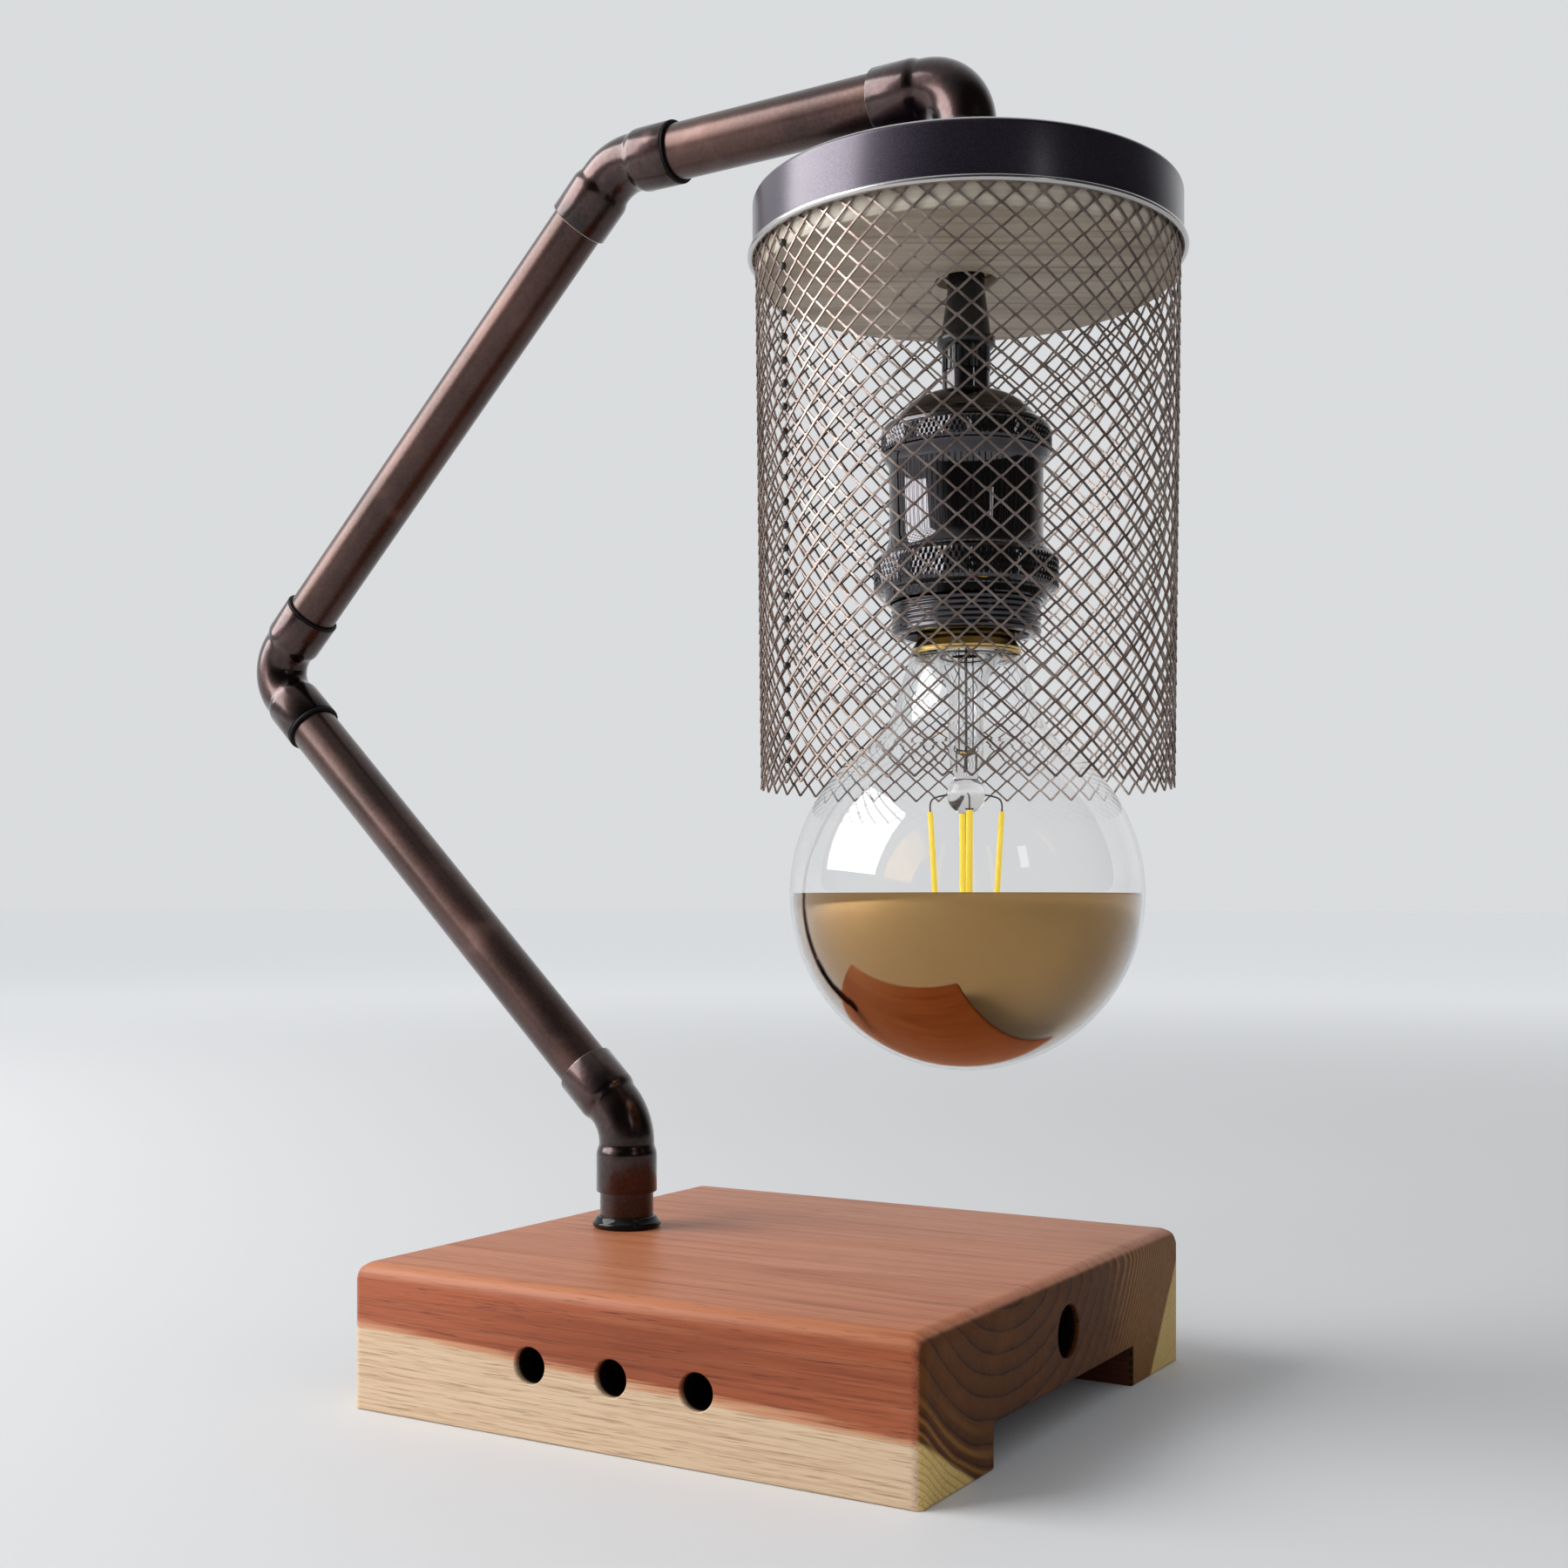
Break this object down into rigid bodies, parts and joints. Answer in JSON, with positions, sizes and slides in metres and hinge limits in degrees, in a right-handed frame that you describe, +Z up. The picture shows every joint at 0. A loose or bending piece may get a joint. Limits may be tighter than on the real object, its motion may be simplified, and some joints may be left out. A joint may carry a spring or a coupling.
{
  "type": "table lamp",
  "caption": "Table lamp with a bent pipe arm on a wooden block, swivelling elbows, and a mesh cylinder shade round a half-mirrored globe bulb.",
  "frame": {"origin": "middle of the lamp's footprint box, on the table", "axes": "+X along the base towards the shade, +Y to the back, +Z up"},
  "size_m": [0.323, 0.169, 0.3667],
  "materials": {
    "base_wood": "oiled reddish-brown hardwood with pale sapwood",
    "disc_wood": "olive-brown varnished plywood",
    "patina_copper": "dark oxidised copper, satin",
    "fitting_copper": "dark oxidised copper, satin",
    "black_rubber": "smooth black rubber",
    "zinc_steel": "zinc plated",
    "cap_bronze": "dark purple-bronze satin",
    "mesh_bronze": "brown-taupe expanded metal",
    "grip_plastic": "glossy black",
    "black_chrome": "glossy black chrome",
    "insulator_ceramic": "unglazed white porcelain",
    "contact_brass": "plain brass",
    "bulb_brass": "bright brass",
    "cap_button_black": "black glassy insulation",
    "solder": "dull solder",
    "bulb_glass": "clear",
    "gold_mirror": "gold mirror coating",
    "filament_yellow": "yellow phosphor strip",
    "wire_steel": "thin bright wire",
    "driver_board": "coated circuit board"
  },
  "bodies": {
    "base": {"base_block": "base_wood"},
    "lower_arm": {"foot_grommet": "black_rubber", "stub_pipe": "patina_copper", "anchor_washer": "zinc_steel", "anchor_nut": "zinc_steel", "bottom_elbow": "fitting_copper", "lower_pipe": "patina_copper"},
    "knee": {"knee_elbow": "fitting_copper", "knee_lower_ring": "black_rubber", "knee_upper_ring": "black_rubber"},
    "upper_arm": {"upper_pipe": "patina_copper", "shoulder_elbow": "fitting_copper", "shoulder_ring": "black_rubber"},
    "head": {"top_pipe": "patina_copper", "top_elbow": "fitting_copper", "drop_pipe": "patina_copper", "cap_locknut": "zinc_steel", "shade_cap": "cap_bronze", "disc_flange": "zinc_steel", "flange_screws": "zinc_steel", "wood_disc": "disc_wood", "mesh_shade": "mesh_bronze", "pipe_bushing": "zinc_steel", "nipple": "zinc_steel", "cord_grip": "grip_plastic", "grip_nut": "grip_plastic", "socket_cap": "black_chrome", "socket_body": "black_chrome", "socket_insulator": "insulator_ceramic", "screw_shell": "contact_brass", "terminal_screws": "contact_brass", "centre_contact": "contact_brass"},
    "shade_ring": {"shade_ring": "black_chrome"},
    "bulb": {"bulb_cap": "bulb_brass", "cap_button": "cap_button_black", "tip_contact": "solder", "bulb_globe": "bulb_glass", "bulb_mirror": "gold_mirror", "glass_stem": "bulb_glass", "filaments": "filament_yellow", "support_wires": "wire_steel", "bulb_driver": "driver_board"}
  },
  "joints": [
    {"name": "base_swivel", "type": "hinge", "parent": "base", "child": "lower_arm", "pos_m": [-0.00975, 0, 0.0395], "axis": [0, 0, 1], "range_deg": [-90, 90]},
    {"name": "knee_lower_swivel", "type": "hinge", "parent": "lower_arm", "child": "knee", "pos_m": [-0.15844, 0, 0.21408], "axis": [-0.7218, 0, 0.6921], "range_deg": [-45, 45]},
    {"name": "knee_upper_swivel", "type": "hinge", "parent": "knee", "child": "upper_arm", "pos_m": [-0.15844, 0, 0.21408], "axis": [0.712, 0, 0.7022], "range_deg": [-45, 45]},
    {"name": "shoulder_swivel", "type": "hinge", "parent": "upper_arm", "child": "head", "pos_m": [-0.01283, 0, 0.35767], "axis": [1, 0, 0], "range_deg": [-60, 60]},
    {"name": "shade_ring_travel", "type": "slide", "parent": "head", "child": "shade_ring", "axis": [0, 0, 1], "range_m": [-0.021, 0]},
    {"name": "bulb_unscrew", "type": "slide", "parent": "head", "child": "bulb", "axis": [0, 0, 1], "range_m": [-0.045, 0]}
  ]
}
